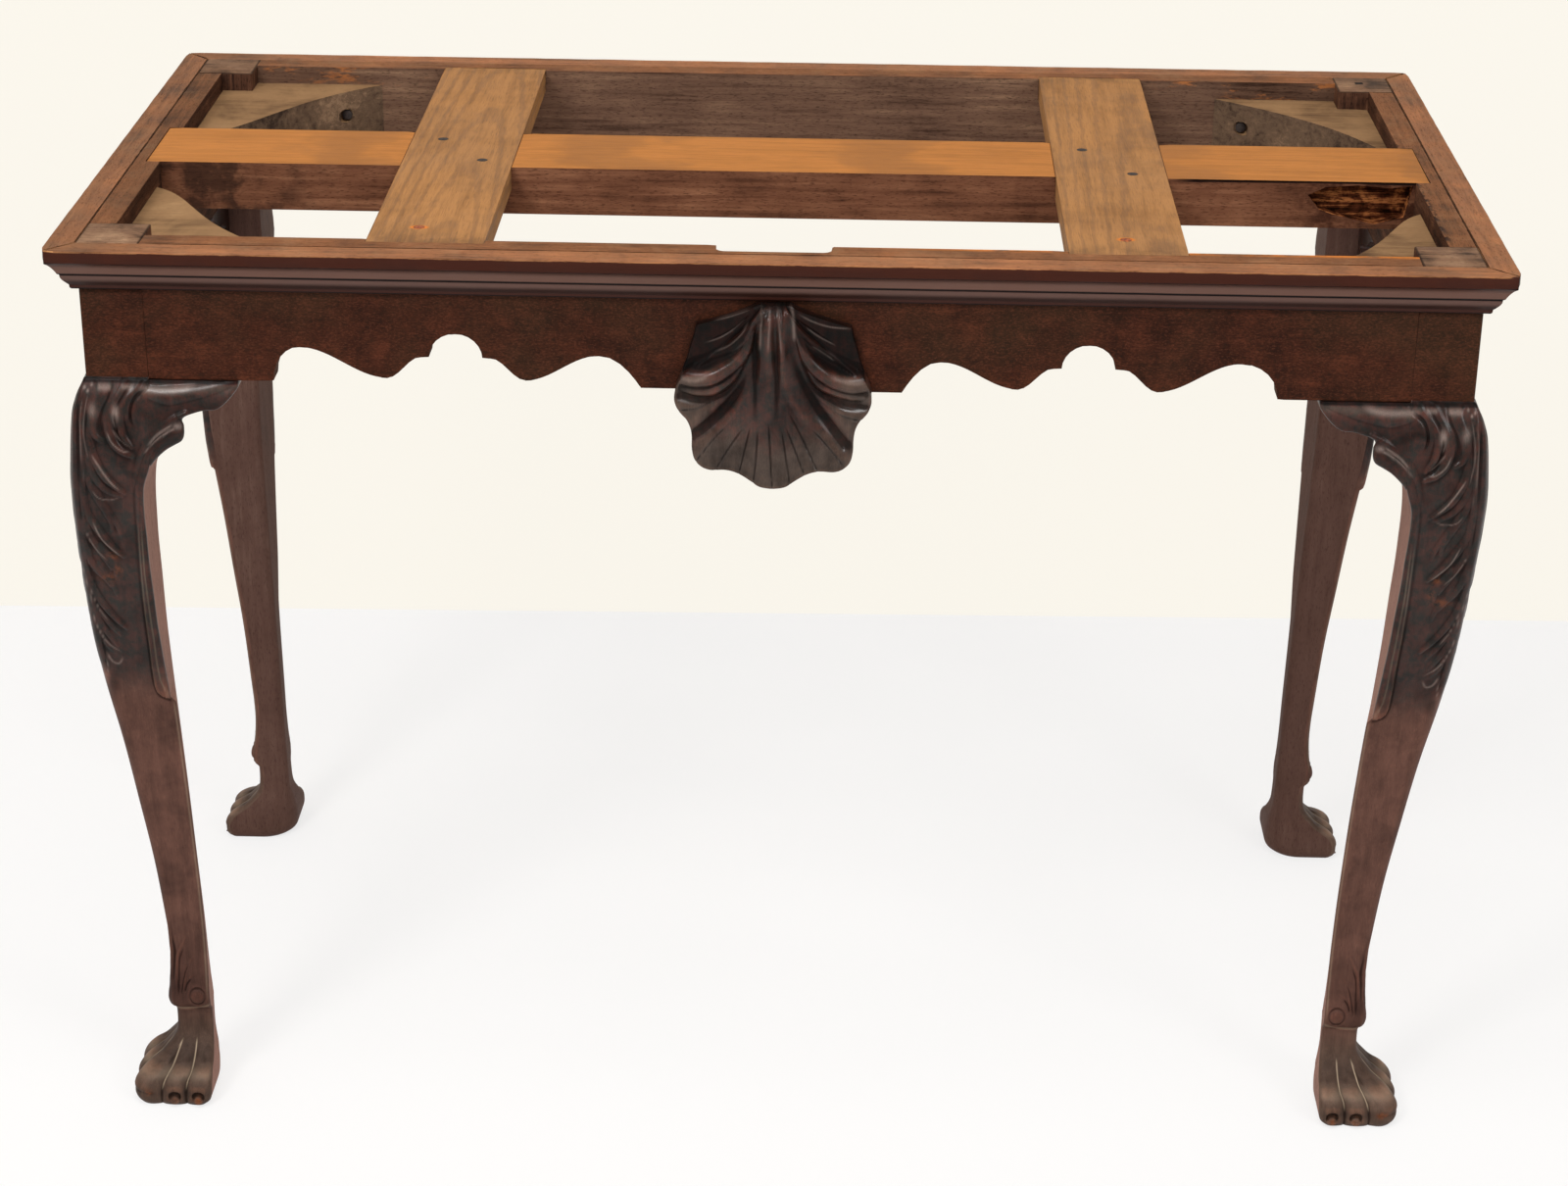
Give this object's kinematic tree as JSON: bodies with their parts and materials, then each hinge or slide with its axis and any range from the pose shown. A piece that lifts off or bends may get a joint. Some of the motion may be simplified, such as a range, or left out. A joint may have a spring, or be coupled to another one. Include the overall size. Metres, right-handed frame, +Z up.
{
  "type": "console table",
  "caption": "Side table frame with cabriole legs on paw feet, a waved front rail with a carved shell, a mitred moulding, and open cross members that carry a loose top.",
  "frame": {"origin": "on the floor, under the middle of the moulding's outline", "axes": "+X along the front to the right, +Y to the back, +Z up"},
  "size_m": [1.13, 0.592, 0.779],
  "materials": {
    "mahogany_rails": "old dark polish, mottled figure",
    "mahogany_carved": "dark polish, worn redder on the edges",
    "mahogany_moulding": "dark polish outside, bare orange brown on top",
    "oak_back_rail": "rough sawn inside, dark outside",
    "pine_stretcher": "planed, oxidised orange",
    "pine_battens": "planed, weathered grey brown",
    "pine_braces": "dusty, unfinished",
    "iron_screws": "rusted"
  },
  "bodies": {
    "root": {"front_rail": "mahogany_rails", "back_rail": "oak_back_rail", "left_side_rail": "mahogany_rails", "right_side_rail": "mahogany_rails", "front_left_leg": "mahogany_carved", "front_right_leg": "mahogany_carved", "rear_left_leg": "mahogany_carved", "rear_right_leg": "mahogany_carved", "front_left_front_bracket": "mahogany_carved", "front_left_side_bracket": "mahogany_carved", "front_right_front_bracket": "mahogany_carved", "front_right_side_bracket": "mahogany_carved", "rear_left_side_bracket": "mahogany_carved", "rear_right_side_bracket": "mahogany_carved", "shell_carving": "mahogany_carved", "front_moulding": "mahogany_moulding", "back_moulding": "mahogany_moulding", "left_moulding": "mahogany_moulding", "right_moulding": "mahogany_moulding", "centre_stretcher": "pine_stretcher", "left_batten": "pine_battens", "right_batten": "pine_battens", "front_left_brace": "pine_braces", "front_right_brace": "pine_braces", "rear_left_brace": "pine_braces", "rear_right_brace": "pine_braces", "brace_screws": "iron_screws", "batten_screws": "iron_screws"}
  },
  "joints": []
}
